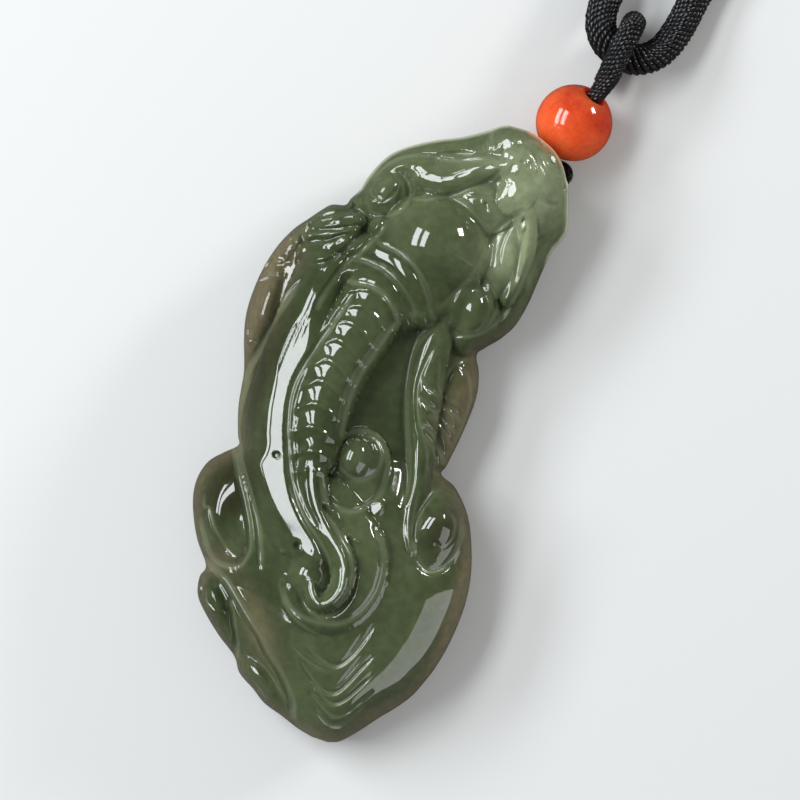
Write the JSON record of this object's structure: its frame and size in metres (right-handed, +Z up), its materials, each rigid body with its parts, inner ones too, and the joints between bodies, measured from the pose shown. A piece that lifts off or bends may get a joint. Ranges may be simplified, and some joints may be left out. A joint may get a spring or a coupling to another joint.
{
  "type": "jade pixiu pendant on a wound neck rope",
  "caption": "Carved nephrite pixiu pendant with a round agate bead on a black thread-wound neck rope, lying on its flat back.",
  "frame": {"origin": "under the middle of the stone and bead, on the flat back that the pendant lies on", "axes": "+Y from the foot of the carving to its head and bead, +Z up out of the carved face"},
  "size_m": [0.091, 0.3638, 0.0147],
  "materials": {
    "jade": "polished",
    "agate": "polished",
    "thin_cord": "satin",
    "wound_cord": "satin"
  },
  "bodies": {
    "root": {"jade_pixiu": "jade", "agate_bead": "agate", "bail_thread": "thin_cord", "bail_loop": "wound_cord", "neck_rope": "wound_cord", "rope_knot": "wound_cord"}
  },
  "joints": []
}
